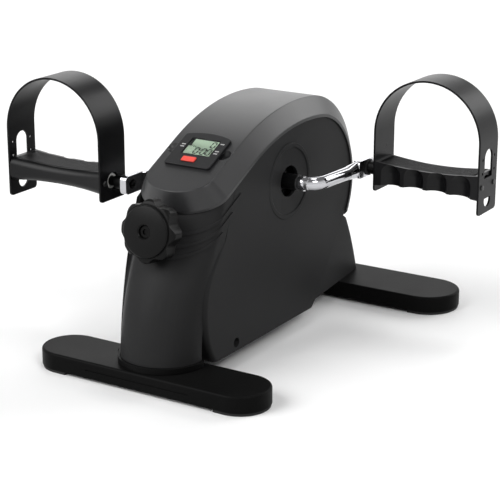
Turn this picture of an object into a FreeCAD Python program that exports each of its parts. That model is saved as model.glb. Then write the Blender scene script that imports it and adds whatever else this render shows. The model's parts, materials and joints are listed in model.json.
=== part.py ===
import FreeCAD, Part
import math
import os

# Pedal exerciser with a belt-driven friction flywheel. Millimetres.
# +X is the sitter's right, +Y points away from the sitter, +Z is up.
# The origin is on the ground, under the middle of the crank axle.

V = FreeCAD.Vector

# ---- driving dimensions -------------------------------------------------
CRANK_Z = 168.0            # height of the crank axle
CRANK_R = 92.0             # axle to pedal spindle
HALF_LENGTH = 204.0        # ground to either foot's outer edge, along Y

# feet
FOOT_TOP = 20.0
PAD_H = 3.0
FRONT_FOOT = (-144.0, -HALF_LENGTH, 128.0)   # inner edge, outer edge, half length
REAR_FOOT = (134.0, HALF_LENGTH, 158.0)
FOOT_WALL = 2.5

# body, seen from the side: a sloping line, a long arc and a tight rear arc
WALL = 2.5
SLOPE = math.radians(26.0)
TOP_C = (33.0, -13.7)      # centre of the long arc
TOP_R = 258.0
TOP_LEAN = math.radians(7.4)      # where the long arc meets the rear one, behind its crest
REAR_R = 97.0
REAR_C = (TOP_C[0] + (TOP_R - REAR_R) * math.sin(TOP_LEAN), TOP_C[1] + (TOP_R - REAR_R) * math.cos(TOP_LEAN))
REAR_END = math.radians(-30.0)
HOOD_DEPTH = 21.0
HOOD_HALF = 48.0
NOSE_Y = -124.0            # where the hood's rounded nose begins
NOSE_FLAT = 0.69           # length of the nose over its half width
FRONT_LIMIT = -190.0       # beyond everything at the front of the body
BEVEL_OUT = 11.5
BEVEL_DOWN = 18.0
CREASE_R = (1.8, 2.4)      # rounding at the bevel's upper and lower edge
SIDE_HALF = 46.5
BELLY_Z = 18.5

# hub boss and crank hole in the side walls
BOSS_R = 39.0
BOSS_RISE = 2.6
BOSS_RIM = 5.0
BOSS_DISH = 0.9
HUB_HOLE_R = 16.0

# knob
KNOB_FACE = (-186.5, 155.4)
KNOB_TILT = math.radians(10.0)
KNOB_R = 31.0
KNOB_LOBES = 8
KNOB_T = 20.0
SCREW_R = 4.0

# drive
AXLE_R = 6.0
PLATE_X = 28.0             # middle of each upright plate of the frame
PLATE_T = 3.0
PULLEY_R = 46.0
PULLEY_X = -16.0
PULLEY_W = 10.0
FLY_C = (-40.0, 112.0)
FLY_R = 44.0
FLY_X = 0.0
FLY_W = 14.0
FLY_AXLE_R = 5.0
SMALL_PULLEY_R = 13.0
BELT_T = 2.0
BELT_GAP = 0.3
FIT = 0.05                 # radial running clearance
GAP = 0.3                  # clearance between bodies

# meter, in the plane of the slope
METER_Y = -92.0
METER_W = 52.0
METER_L = 50.0
METER_RISE = 2.6
METER_BOW = 4.5

# crank arms and pedals
ARM_X = 84.0               # middle of the flat end of each arm
ARM_R = 7.0
STUB_R = 8.0
PEDAL_X = 163.0
PEDAL_HALF = 58.75         # to the outer face of each strap leg
TREAD_TOP = 13.0           # tread above the spindle axis
TREAD_BOTTOM = -12.0
PEDAL_DEPTH = 42.0
STRAP_T = 2.0
STRAP_TOP = 102.0
SPINDLE_R = 5.0


# columns: height, half width, depth of the rounded end, nose, half width and Y of the tail
COLUMN = [(FOOT_TOP + 6, 43.0, 43.0, -198.5, 20.0, -135.0), (62.0, 43.0, 41.0, -193.3, 31.0, -128.0),
          (95.0, 44.0, 36.0, -181.0, 40.0, -120.0), (125.0, 45.5, 30.0, -165.0, 45.0, -105.0),
          (150.0, 46.4, 25.0, -150.3, 46.4, -92.0), (168.0, 46.5, 22.0, -141.6, 46.4, -90.0),
          (192.0, 46.5, 22.0, -130.0, 46.4, -90.0)]
REAR_COLUMN = [(FOOT_TOP, 26.0, 18.0, 201.0, 42.0), (54.0, 28.0, 17.0, 185.5, 36.0),
               (86.0, 30.0, 14.0, 165.5, 33.0), (116.0, 31.0, 12.0, 141.0, 31.0)]
REAR_TAIL_Y = 40.0
COLLAR_H = 6.5
RIBS = ((13.0, -91.0), (20.0, -106.0), (26.0, -124.0))   # distance below the hood, rear end
RIB_RISE = 1.1
RIB_W = 2.0
COVER_SCREW = (-99.0, 27.0)
COVER_SCREW_R = 5.0
BUSH_R = 8.0
SOCKET_AT = 26.0           # boss round the bush, behind the knob's face
SOCKET_R = 12.5
FOOT_BOLT_X = (-11.0, 11.0)
FOOT_BOLT_R = 4.0
BEARING_R = 16.0
MAGNET_R = 36.0
AXLE_END = 70.0
ARM_BEND_X = 76.0
ARM_END_T = 8.0            # flat end: thickness, height, reach before and past the spindle
ARM_END_H = 19.0
ARM_FLAT = 20.0
ARM_END = 11.0
FLY_SLEEVE_R = 10.5
FLY_BEARING_R = 8.5
GUIDE = (78.0, 104.0)      # distances behind the knob's face
CARRIER = (83.0, 97.0)
BRAKE_TRAVEL = 7.0
SCREW_END = 96.0
METER_PLUG_W = 46.0
METER_PLUG_L = 44.0
METER_DEEP = 10.0
METER_SEAT = 0.1
LENS_W, LENS_L, LENS_T = 33.0, 25.0, 0.8
LENS_AT = (1.0, 3.5)
WINDOW_STEP = 2.8
BUTTON = (15.0, 6.5)
BUTTON_AT = (-1.7, -16.0)
CELL_R = 5.8
CELL_AT = (8.0, -6.0)
SCALLOPS = 4
SCOOP_Z = 1.0              # where each scoop begins to close into an arch
BUSH_OUT = 8.0
PEG_R = 1.5
PEG_Y = (-14.0, 14.0)
STRAP_INNER_END = -19.0
STRAP_OUTER_END = -28.0
SLOT_R = 9.0               # slot in the outer leg, rounded at the top
SLOT_Z = (8.0, 28.0)
HOLE_R = 7.5               # half-round hole below it
HOLE_Z = -15.0


# ---- small helpers ------------------------------------------------------
def box(x, y, z):
    """Block between two corners given as (low, high) pairs."""
    return Part.makeBox(x[1] - x[0], y[1] - y[0], z[1] - z[0], V(x[0], y[0], z[0]))


def rod_x(radius, x0, x1, y=0.0, z=0.0):
    return Part.makeCylinder(radius, x1 - x0, V(x0, y, z), V(1, 0, 0))


def tube_x(outer, inner, x0, x1, y=0.0, z=0.0):
    return rod_x(outer, x0, x1, y, z).cut(rod_x(inner, x0 - 1, x1 + 1, y, z))


def yz(point, x=0.0):
    return V(x, point[0], point[1])


def line(a, b):
    return Part.LineSegment(a, b).toShape()


def arc(a, m, b):
    return Part.Arc(a, m, b).toShape()


def prism_x(edges, half):
    """Extrude a closed chain of edges in the YZ plane to both sides of X = 0."""
    face = Part.Face(Part.Wire(edges))
    face.translate(V(-half, 0, 0))
    return face.extrude(V(2 * half, 0, 0))


def prism_z(edges, z0, z1):
    face = Part.Face(Part.Wire(edges))
    face.translate(V(0, 0, z0))
    return face.extrude(V(0, 0, z1 - z0))


def polygon(points):
    return [line(a, b) for a, b in zip(points, points[1:] + points[:1])]


def rounded_rect(half_x, half_y, r):
    """Edges of a rounded rectangle about the origin, in the XY plane."""
    s = r * math.sqrt(0.5)
    edges = []
    corners = [(1, 1), (-1, 1), (-1, -1), (1, -1)]
    starts, ends = [], []
    for i, (sx, sy) in enumerate(corners):
        cx, cy = sx * (half_x - r), sy * (half_y - r)
        along_x, along_y = V(cx + sx * r, cy, 0), V(cx, cy + sy * r, 0)
        a, b = (along_x, along_y) if i % 2 == 0 else (along_y, along_x)
        edges.append(arc(a, V(cx + sx * s, cy + sy * s, 0), b))
        starts.append(a)
        ends.append(b)
    for i in range(4):
        edges.append(line(ends[i], starts[(i + 1) % 4]))
    return Part.__sortEdges__(edges)


def rounded_chain(points, radii):
    """Edges of a closed polygon whose corners are rounded, each by its own radius."""
    corners = []
    for i, (p, r) in enumerate(zip(points, radii)):
        if not r:
            corners.append((p, None, p))
            continue
        back = (points[i - 1] - p).normalize()
        ahead = (points[(i + 1) % len(points)] - p).normalize()
        half_angle = back.getAngle(ahead) / 2
        reach = r / math.tan(half_angle)
        middle = (back + ahead).normalize() * (r / math.sin(half_angle) - r)
        corners.append((p + back * reach, p + middle, p + ahead * reach))
    edges = []
    for (start, middle, end), following in zip(corners, corners[1:] + corners[:1]):
        if middle is not None:
            edges.append(arc(start, middle, end))
        edges.append(line(end, following[0]))
    return edges


def group(solids):
    return Part.Compound(solids)


def mirrored(shape):
    return shape.mirror(V(0, 0, 0), V(1, 0, 0))


def half_turn(shape):
    """Turn about the crank axle's vertical: the left crank is the right one turned."""
    turned = shape.copy()
    turned.rotate(V(0, 0, 0), V(0, 0, 1), 180)
    return turned


# ---- body outline -------------------------------------------------------
def on_arc(centre, radius, lean):
    """Point (y, z) on an arc, its lean measured from straight up, positive to the front."""
    return centre[0] - radius * math.sin(lean), centre[1] + radius * math.cos(lean)


def slope_z(y, drop=0.0):
    """Height at y of the straight slope, moved inward by drop."""
    join = on_arc(TOP_C, TOP_R - drop, SLOPE)
    return join[1] + (y - join[0]) * math.tan(SLOPE)


def top_line(drop, start_y):
    """Edges of the body's top line, moved inward by drop, from start_y to the rear end."""
    r1, r2 = TOP_R - drop, REAR_R - drop
    end_lean = REAR_END - math.pi / 2
    start = (start_y, slope_z(start_y, drop))
    join = on_arc(TOP_C, r1, SLOPE)
    middle = on_arc(TOP_C, r1, (SLOPE - TOP_LEAN) / 2)
    meet = on_arc(TOP_C, r1, -TOP_LEAN)
    rear = on_arc(REAR_C, r2, (end_lean - TOP_LEAN) / 2)
    end = on_arc(REAR_C, r2, end_lean)
    edges = [line(yz(start), yz(join)), arc(yz(join), yz(middle), yz(meet)), arc(yz(meet), yz(rear), yz(end))]
    return edges, start, end


def on_slope(shape, y=METER_Y):
    """Move a shape from its own frame (Z out of the hood, Y uphill) onto the slope at y."""
    moved = shape.copy()
    moved.rotate(V(0, 0, 0), V(1, 0, 0), math.degrees(SLOPE))
    moved.translate(V(0, y, slope_z(y)))
    return moved


def standing_on(face, centre, radius, lean):
    """Stand a section, drawn in the XZ plane, on an arc of the top line."""
    moved = face.copy()
    moved.rotate(V(0, 0, 0), V(1, 0, 0), math.degrees(lean))
    moved.translate(yz(on_arc(centre, radius, lean)))
    return moved


def hood_corners(inset):
    """Right half of the hood's cross-section: the two corners as (half width, depth)."""
    slant = math.hypot(BEVEL_OUT, BEVEL_DOWN)
    half = HOOD_HALF - inset
    top_half = half - BEVEL_OUT + inset * (slant - BEVEL_OUT) / BEVEL_DOWN
    side_depth = inset + (half - top_half) * BEVEL_DOWN / BEVEL_OUT
    return [V(top_half, 0, -inset), V(half, 0, -side_depth)]


def hood_cover():
    """One section carried round the nose, up the slope and over both arcs of the top."""
    rim = [V(HOOD_HALF, 0, -HOOD_DEPTH), V(HOOD_HALF - WALL, 0, -HOOD_DEPTH)]
    side = hood_corners(0) + rim + hood_corners(WALL)[::-1]
    radii = [CREASE_R[0], CREASE_R[1], 0, 0, 0, 0]
    half = Part.Face(Part.Wire(rounded_chain([V(0, 0, 0)] + side + [V(0, 0, -WALL)], [0] + radii + [0])))
    opposite = [V(-p.x, 0, p.z) for p in side[::-1]]
    both = Part.Face(Part.Wire(rounded_chain(side + opposite, radii + radii[::-1])))
    flatten = FreeCAD.Matrix()
    flatten.A22 = NOSE_FLAT
    nose = half.revolve(V(0, 0, 0), V(0, 0, 1), -180).transformGeometry(flatten)
    join = on_arc(TOP_C, TOP_R, SLOPE)
    slope = both.extrude(V(0, (join[0] - NOSE_Y) / math.cos(SLOPE), 0))
    crest = standing_on(both, TOP_C, TOP_R, SLOPE)
    crest = crest.revolve(yz(TOP_C), V(1, 0, 0), -math.degrees(SLOPE + TOP_LEAN))
    over = standing_on(both, REAR_C, REAR_R, -TOP_LEAN)
    over = over.revolve(yz(REAR_C), V(1, 0, 0), math.degrees(REAR_END + TOP_LEAN) - 90)
    hood = on_slope(nose, NOSE_Y).fuse([on_slope(slope, NOSE_Y), crest, over]).removeSplitter()
    return finish_meter_seat(hood)


def finish_meter_seat(hood):
    """Opening for the meter and a finger scoop on each side of it."""
    scoops = []
    for side in (-1, 1):
        x = sorted((side * (METER_PLUG_W / 2 + GAP + 2.2), side * 36.0))
        hood = hood.fuse(on_slope(box(x, (-10, 10), (-7, -WALL))))
        scoops.append(on_slope(Part.makeSphere(8.5, V(side * 28.0, 0, 4.0))))
    hood = hood.cut(on_slope(box((-METER_PLUG_W / 2 - GAP, METER_PLUG_W / 2 + GAP),
                                 (-METER_PLUG_L / 2 - GAP, METER_PLUG_L / 2 + GAP), (-20, 20))))
    return hood.cut(scoops[0]).cut(scoops[1])


def under_line(drop):
    """Everything below the top line moved inward by drop, wide and long."""
    edges, start, end = top_line(drop, FRONT_LIMIT)
    inner = V(0, REAR_C[0], 60)
    front = V(0, start[0], 60)
    outline = edges + [line(yz(end), yz(REAR_C)), line(yz(REAR_C), inner), line(inner, front),
                       line(front, yz(start))]
    return prism_x(outline, 80)


def hood_zone(shift=0.0):
    """Space kept for the hood: all that lies outside its lower edge."""
    edges, start, end = top_line(HOOD_DEPTH, FRONT_LIMIT)
    far = 300.0
    corner = V(0, far, end[1] + (far - end[0]) * math.tan(REAR_END))
    outline = edges + [line(yz(end), corner), line(corner, V(0, far, far)),
                       line(V(0, far, far), V(0, start[0], far)), line(V(0, start[0], far), yz(start))]
    zone = prism_x(outline, 90)
    zone.translate(V(0, 0, -shift))
    return zone


def belly_block(inset):
    """Flat-sided middle of the body, from the S-shaped front edge to the rear slant."""
    edges, start, end = top_line(HOOD_DEPTH, -100.0)
    z0 = BELLY_Z + inset
    front = [(-138.0 + inset, z0), (-150.5 + inset, 44.0), (-154.0 + inset, 70.0),
             (-150.0 + inset, 95.0), (-138.0 + inset, 117.0), (-114.0 + inset, 146.0)]
    curve = Part.BSplineCurve()
    curve.interpolate([yz(p) for p in front])
    rear = [(97.5 - inset, 80.0), (62.5 - inset, 31.0), (49.0 - inset, z0)]
    outline = edges + [line(yz(end), yz(rear[0])), line(yz(rear[0]), yz(rear[1])),
                       line(yz(rear[1]), yz(rear[2])), line(yz(rear[2]), yz(front[0])),
                       curve.toShape(), line(yz(front[-1]), yz(start))]
    block = prism_x(outline, SIDE_HALF - inset)
    if inset:
        return block
    front_edges = [e for e in block.Edges if abs(abs(e.CenterOfMass.x) - SIDE_HALF) < 0.01
                   and e.CenterOfMass.y < -125 and e.BoundBox.ZLength > 60]
    return block.makeFillet(5.0, front_edges)


def horseshoe(half_x, depth, nose, tail_half, tail_y, z, sign=-1.0):
    """Half-ellipse end with straight sides, closed at the tail; the end points along sign * Y."""
    centre_y = nose - sign * depth
    steps = [math.pi * i / 8 for i in range(9)]
    pts = [V(half_x * math.cos(t), centre_y + sign * depth * math.sin(t), z) for t in steps]
    curve = Part.BSplineCurve()
    curve.interpolate(Points=pts, InitialTangent=V(0, sign, 0), FinalTangent=V(0, -sign, 0))
    a, b = V(-tail_half, tail_y, z), V(tail_half, tail_y, z)
    return Part.Wire([curve.toShape(), line(pts[-1], a), line(a, b), line(b, pts[0])])


def column_block(inset, grow=0.0):
    """Front column, flaring down to the front foot."""
    d = grow - inset
    wires = [horseshoe(h + d, dep + d, nose - d, tail + d, tail_y, z)
             for z, h, dep, nose, tail, tail_y in COLUMN]
    loft = Part.makeLoft(wires, True, False)
    foot = Part.Face(wires[0]).extrude(V(0, 0, FOOT_TOP - COLUMN[0][0] - inset))
    return loft.fuse(foot).removeSplitter()


def rear_column_block(inset):
    wires = [horseshoe(h - inset, dep - inset, nose - inset, tail - inset, REAR_TAIL_Y, z, 1.0)
             for z, h, dep, nose, tail in REAR_COLUMN]
    loft = Part.makeLoft(wires, True, False)
    if not inset:
        return loft
    loft = loft.fuse(Part.Face(wires[0]).extrude(V(0, 0, -inset)))
    return loft.cut(hood_zone(inset / math.cos(REAR_END)))


def hub_boss(side):
    """Round boss about the crank hole: a rim proud at the front, sinking into the wall to the rear."""
    tilt = math.degrees(math.atan2(BOSS_RISE, 2 * BOSS_R))
    face = BOSS_RISE / 2 + 0.1
    boss = rod_x(BOSS_R, -WALL, face).cut(rod_x(BOSS_R - BOSS_RIM, face - BOSS_DISH, face + 1))
    boss = boss.makeFillet(BOSS_DISH * 0.9, [e for e in boss.Edges if e.CenterOfMass.x > face - 0.01])
    boss.rotate(V(0, 0, 0), V(0, 0, 1), -tilt)
    boss.translate(V(SIDE_HALF, 0, CRANK_Z))
    return boss if side > 0 else mirrored(boss)


def body_ribs():
    """Three thin ribs round the front corner, parallel to the hood's edge, each shorter than the last."""
    ribs = []
    grown = column_block(0, RIB_RISE)
    for depth, stop in RIBS:
        band = under_line(HOOD_DEPTH + depth - RIB_W).cut(under_line(HOOD_DEPTH + depth))
        ribs.append(grown.common(band).common(box((-60, 60), (-220, stop), (60, 220))))
    return ribs


def on_knob(shape):
    """Move a shape whose Z runs from the knob's face into the body onto the screw's axis."""
    moved = shape.copy()
    moved.rotate(V(0, 0, 0), V(1, 0, 0), -90 - math.degrees(KNOB_TILT))
    moved.translate(yz(KNOB_FACE))
    return moved


def disc(radius, start, end):
    return Part.makeCylinder(radius, end - start, V(0, 0, start))


def ring(outer, inner, start, end):
    return disc(outer, start, end).cut(disc(inner, start - 1, end + 1))


def shells():
    """Left and right moulded halves of the body."""
    outer = belly_block(0).fuse([column_block(0), rear_column_block(0)])
    for rib in body_ribs():
        outer = outer.fuse(rib)
    socket = on_knob(Part.makeCone(SOCKET_R, SOCKET_R + 3, 16, V(0, 0, SOCKET_AT)))
    outer = outer.fuse([hub_boss(1), hub_boss(-1), socket])
    inner = belly_block(WALL).fuse([column_block(WALL), rear_column_block(WALL)])
    floor = rear_column_block(0).common(box((-60, 60), (REAR_TAIL_Y, REAR_FOOT[0] - 2), (0, FOOT_TOP + WALL)))
    shell = outer.cut(inner).fuse(floor).cut(hood_zone())
    shell = shell.cut(rod_x(HUB_HOLE_R, -60, 60, 0, CRANK_Z))
    shell = shell.cut(on_knob(disc(BUSH_R, -10, 60)))
    for side in (-1, 1):
        well = rod_x(COVER_SCREW_R, SIDE_HALF - 12, SIDE_HALF, *COVER_SCREW)
        post = rod_x(COVER_SCREW_R + 1.8, SIDE_HALF - 14, SIDE_HALF - 1, *COVER_SCREW)
        well, post = (well, post) if side > 0 else (mirrored(well), mirrored(post))
        shell = shell.fuse(post).cut(well)
    halves = []
    for x in ((-80, 0), (0, 80)):
        half = shell.common(box(x, (-260, 260), (0, 300)))
        halves.append(max(half.Solids, key=lambda s: s.Volume))
    return halves


def cover_screws():
    """Pan-head screws at the bottom of the two wells."""
    screws = []
    for side in (-1, 1):
        head = rod_x(COVER_SCREW_R - 0.4, SIDE_HALF - 12, SIDE_HALF - 9, *COVER_SCREW)
        head = head.cut(box((SIDE_HALF - 10, SIDE_HALF), (COVER_SCREW[0] - 3, COVER_SCREW[0] + 3),
                            (COVER_SCREW[1] - 0.5, COVER_SCREW[1] + 0.5)))
        screws.append(head if side > 0 else mirrored(head))
    return group(screws)


def front_collar():
    """Low ring round the foot of the front column."""
    _, h, dep, nose, tail, tail_y = COLUMN[0]
    rings = []
    for d in (2.6, 0.0):
        wire = horseshoe(h + d, dep + d, nose - d, tail + d, tail_y, FOOT_TOP)
        rings.append(Part.Face(wire).extrude(V(0, 0, COLLAR_H)))
    collar = rings[0].cut(rings[1])
    keep = box((-80, 80), (-260, FRONT_FOOT[0] - 3), (0, 60))
    collar = collar.common(keep).cut(belly_block(0))
    return group(collar.Solids) if len(collar.Solids) > 1 else collar.Solids[0]


# ---- feet ---------------------------------------------------------------
def foot_plan(foot, inset, z0, z1):
    near, far, half = foot
    depth = abs(far - near) / 2 - inset
    edges = rounded_rect(half - inset, depth, depth - 0.01)
    block = prism_z(edges, z0, z1)
    block.translate(V(0, (near + far) / 2, 0))
    return block


def foot_cover(foot):
    """Moulded bar, open below, with a rounded top edge and tips that fall slightly."""
    block = foot_plan(foot, 0, PAD_H, FOOT_TOP)
    block = block.makeFillet(2.5, [e for e in block.Edges if e.BoundBox.ZMin > FOOT_TOP - 0.1])
    block = block.cut(foot_plan(foot, FOOT_WALL, 0, FOOT_TOP - FOOT_WALL))
    y = (foot[0] + foot[1]) / 2
    for x in FOOT_BOLT_X:
        block = block.cut(Part.makeCylinder(FOOT_BOLT_R, 40, V(x, y, 0)))
    return block


def front_foot_cover():
    groove = box((-60, 60), (FRONT_FOOT[1] - 1, FRONT_FOOT[1] + 0.8), (10.6, 11.8))
    return foot_cover(FRONT_FOOT).cut(groove)


def foot_tube(foot):
    """Steel bar inside the foot, under its top."""
    y = (foot[0] + foot[1]) / 2
    half = foot[2] - 48
    z1 = FOOT_TOP - FOOT_WALL
    bar = box((-half, half), (y - 15, y + 15), (z1 - 12, z1))
    bar = bar.cut(box((-half - 1, half + 1), (y - 13, y + 13), (z1 - 10, z1 - 2)))
    for x in FOOT_BOLT_X:
        bar = bar.cut(Part.makeCylinder(FOOT_BOLT_R, 40, V(x, y, 0)))
    return bar


def foot_bolts(foot):
    y = (foot[0] + foot[1]) / 2
    z = FOOT_TOP - FOOT_WALL - 12
    bolts = []
    for x in FOOT_BOLT_X:
        head = hexagon(6.0, 3.5)
        head.translate(V(x, y, z - 3.5))
        bolts.append(head.fuse(Part.makeCylinder(FOOT_BOLT_R, 24, V(x, y, z))).removeSplitter())
    return group(bolts)


def foot_pads(foot):
    """Rubber pads: a sole under the rim and a plug inside the bar."""
    pads = []
    for side in (-1, 1):
        x = sorted((side * (foot[2] - 42), side * (foot[2] + 5)))
        zone = box(x, (-260, 260), (-1, 60))
        sole = foot_plan(foot, 1.0, 0, PAD_H).common(zone)
        plug = foot_plan(foot, FOOT_WALL, PAD_H, PAD_H + 5).common(zone)
        pads.append(sole.fuse(plug).removeSplitter())
    return group(pads)


def hexagon(across_radius, height):
    points = [V(across_radius * math.cos(math.pi * i / 3), across_radius * math.sin(math.pi * i / 3), 0)
              for i in range(6)]
    return Part.Face(Part.Wire(polygon(points))).extrude(V(0, 0, height))


# ---- frame --------------------------------------------------------------
def main_frame():
    """Welded frame: spine, end pads, two upright plates, bearing cups and the brake guide."""
    z0, z1 = FOOT_TOP + 2.5, FOOT_TOP + 14.5
    frame = box((-20, 20), (-176, 172), (z0, z1))
    frame = frame.cut(box((-18, 18), (-177, 173), (z0 + 2, z1 - 2)))
    for foot in (FRONT_FOOT, REAR_FOOT):
        y = (foot[0] + foot[1]) / 2
        frame = frame.fuse(box((-20, 20), (y - 13, y + 13), (FOOT_TOP, z0 + 3)))
    edge = PLATE_X + PLATE_T / 2
    frame = frame.fuse(box((-edge, edge), (-70, 20), (z1, z1 + 3)))
    outline = [(-70, z1 + 3), (18, z1 + 3), (21, CRANK_Z), (-21, CRANK_Z), (FLY_C[0] - 19, FLY_C[1] + 8)]
    for side in (-1, 1):
        plate = Part.Face(Part.Wire(polygon([yz(p) for p in outline])))
        plate.translate(V(side * PLATE_X - PLATE_T / 2, 0, 0))
        plate = plate.extrude(V(PLATE_T, 0, 0))
        plate = plate.cut(rod_x(13, -50, 50, -28, 72))
        cup = sorted((side * (PLATE_X - 6), side * (PLATE_X + 6)))
        frame = frame.fuse([plate, rod_x(BEARING_R + 3, cup[0], cup[1], 0, CRANK_Z)])
    frame = frame.fuse(on_knob(guide_channel()))
    post = box((-10, 10), (-104, -94), (z1, 127))
    frame = frame.fuse(post)
    frame = frame.cut(on_knob(box((-12 - GAP, 12 + GAP), (-30, 12 + GAP), (GUIDE[0] - 1, GUIDE[1] + 1))))
    frame = frame.cut(rod_x(BEARING_R, -60, 60, 0, CRANK_Z))
    frame = frame.cut(rod_x(FLY_AXLE_R, -60, 60, *FLY_C))
    for foot in (FRONT_FOOT, REAR_FOOT):
        for x in FOOT_BOLT_X:
            y = (foot[0] + foot[1]) / 2
            frame = frame.cut(Part.makeCylinder(FOOT_BOLT_R, 30, V(x, y, 0)))
    return frame.removeSplitter()


def guide_channel():
    """U-shaped guide for the brake carrier, in the screw's frame, where Y points down."""
    w = 12 + GAP
    channel = box((-w - 2, w + 2), (-w, w + 2), GUIDE)
    return channel.cut(box((-w, w), (-w - 1, w), (GUIDE[0] - 1, GUIDE[1] + 1)))


def crank_bearing(side):
    x = sorted((side * (PLATE_X - 5), side * (PLATE_X + 5)))
    bearing = tube_x(BEARING_R, AXLE_R + FIT, x[0], x[1], 0, CRANK_Z)
    for face in x:
        groove = tube_x(BEARING_R - 3, AXLE_R + 3, face - 1, face + 1, 0, CRANK_Z)
        bearing = bearing.cut(groove)
    return bearing


def speed_sensor():
    """Reed sensor on the left upright, facing the magnet's circle."""
    x = -PLATE_X + PLATE_T / 2
    y, z = 0.0, CRANK_Z - MAGNET_R
    body = box((x, x + 3), (y - 4, y + 4), (z - 8, z + 8))
    return body.makeFillet(1.0, [e for e in body.Edges if e.BoundBox.XMin > x + 2.9])


# ---- crank --------------------------------------------------------------
def crank_axle():
    axle = rod_x(AXLE_R, -AXLE_END, AXLE_END, 0, CRANK_Z)
    for side in (-1, 1):
        axle = axle.cut(cross_pin(side))
    return axle


def cross_pin(side):
    x = side * (AXLE_END - 6)
    return Part.makeCylinder(2.0, 2 * ARM_R + 1, V(x, 0, CRANK_Z - ARM_R - 0.5))


def axle_sleeve(side):
    """Dark spacer between the bearing and the crank arm."""
    x = sorted((side * (PLATE_X + 5 + GAP), side * (AXLE_END - 12)))
    return tube_x(STUB_R, AXLE_R, x[0], x[1], 0, CRANK_Z)


def drive_pulley():
    """Flanged pulley with a spoked web."""
    x0, x1 = PULLEY_X - PULLEY_W / 2, PULLEY_X + PULLEY_W / 2
    wheel = tube_x(PULLEY_R, PULLEY_R - 6, x0, x1, 0, CRANK_Z)
    for x in (x0, x1 - 1.2):
        wheel = wheel.fuse(tube_x(PULLEY_R + 3, PULLEY_R - 2, x, x + 1.2, 0, CRANK_Z))
    web = tube_x(PULLEY_R - 5, AXLE_R, PULLEY_X - 1.5, PULLEY_X + 1.5, 0, CRANK_Z)
    for i in range(6):
        a = math.radians(60 * i)
        web = web.cut(rod_x(8.5, x0 - 1, x1 + 1, 26 * math.cos(a), CRANK_Z + 26 * math.sin(a)))
    hub = tube_x(12, AXLE_R, x0 - 1, x1 + 1, 0, CRANK_Z)
    carrier = rod_x(6.0, x0, x1, 0, CRANK_Z - MAGNET_R)
    wheel = wheel.fuse([web, hub, carrier]).removeSplitter()
    return wheel.cut(rod_x(4.0, x0 - 1, x0 + 2, 0, CRANK_Z - MAGNET_R))


def speed_magnet():
    x0 = PULLEY_X - PULLEY_W / 2
    return rod_x(4.0, x0, x0 + 2, 0, CRANK_Z - MAGNET_R)


def crank_arm():
    """Right arm: chrome tube out along X, bent to run back, flattened at the pedal end."""
    x0 = AXLE_END - 12
    bend = 18.0
    run = math.atan2(ARM_X - ARM_BEND_X, CRANK_R)
    lead = bend * math.tan((math.pi / 2 - run) / 2)
    start = V(x0, 0, 0)
    a = V(ARM_BEND_X - lead, 0, 0)
    b = V(ARM_BEND_X + lead * math.sin(run), lead * math.cos(run), 0)
    turn = math.pi / 2 - run
    centre = V(a.x, bend, 0)
    mid = centre + V(bend * math.sin(turn / 2), -bend * math.cos(turn / 2), 0)
    flat_y = CRANK_R - ARM_FLAT - 16
    end = V(ARM_BEND_X + flat_y * math.tan(run), flat_y, 0)
    path = Part.Wire([line(start, a), arc(a, mid, b), line(b, end)])
    circle = Part.Wire([Part.Circle(start, V(1, 0, 0), ARM_R).toShape()])
    tube = Part.Wire(path).makePipeShell([circle], True, False)
    half_t, half_h = ARM_END_T / 2, ARM_END_H / 2
    outlines = [arm_section(end.x, end.y, ARM_R, ARM_R), arm_section(ARM_X, CRANK_R - ARM_FLAT + 6, half_t, half_h)]
    neck = Part.makeLoft(outlines, True, False)
    plate = box((ARM_X - half_t, ARM_X + half_t), (CRANK_R - ARM_FLAT, CRANK_R + ARM_END), (-half_h, half_h))
    plate = plate.makeFillet(5.0, [e for e in plate.Edges if e.BoundBox.XLength > half_t])
    plate = plate.makeFillet(0.8, [e for e in plate.Edges if e.BoundBox.XLength < 0.1])
    arm = tube.fuse([neck, plate]).removeSplitter()
    arm = arm.cut(rod_x(SPINDLE_R, 0, 200, CRANK_R, 0))
    arm.translate(V(0, 0, CRANK_Z))
    return arm.cut(rod_x(AXLE_R, 0, AXLE_END, 0, CRANK_Z)).cut(cross_pin(1))


def arm_section(x, y, half_x, half_z):
    """Rounded cross-section of the arm in an XZ plane."""
    steps = [2 * math.pi * i / 12 for i in range(12)]
    pts = [V(x + half_x * math.cos(t), y, half_z * math.sin(t)) for t in steps]
    curve = Part.BSplineCurve()
    curve.interpolate(Points=pts, PeriodicFlag=True)
    return Part.Wire([curve.toShape()])


# ---- flywheel and belt --------------------------------------------------
def flywheel():
    """Rim, web and sleeve in one casting."""
    x0, x1 = FLY_X - FLY_W / 2, FLY_X + FLY_W / 2
    wheel = tube_x(FLY_R, FLY_R - 11, x0, x1, *FLY_C)
    wheel = wheel.fuse(tube_x(FLY_R - 10, 9, FLY_X - 2.5, FLY_X + 2.5, *FLY_C))
    sleeve = rod_x(FLY_SLEEVE_R, PULLEY_X - PULLEY_W / 2, x1, *FLY_C)
    return wheel.fuse(sleeve).cut(rod_x(FLY_BEARING_R, -60, 60, *FLY_C)).removeSplitter()


def small_pulley():
    x0, x1 = PULLEY_X - PULLEY_W / 2, PULLEY_X + PULLEY_W / 2
    wheel = rod_x(SMALL_PULLEY_R, x0, x1, *FLY_C)
    for x in (x0, x1 - 1.2):
        wheel = wheel.fuse(rod_x(SMALL_PULLEY_R + 3, x, x + 1.2, *FLY_C))
    return wheel.cut(rod_x(FLY_SLEEVE_R, x0 - 1, x1 + 1, *FLY_C)).removeSplitter()


def flywheel_bearings():
    x0, x1 = PULLEY_X - PULLEY_W / 2, FLY_X + FLY_W / 2
    return group([tube_x(FLY_BEARING_R, FLY_AXLE_R + FIT, a, a + 7, *FLY_C) for a in (x0, x1 - 7)])


def flywheel_axle():
    return rod_x(FLY_AXLE_R, -PLATE_X - 10, PLATE_X + 10, *FLY_C)


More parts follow.
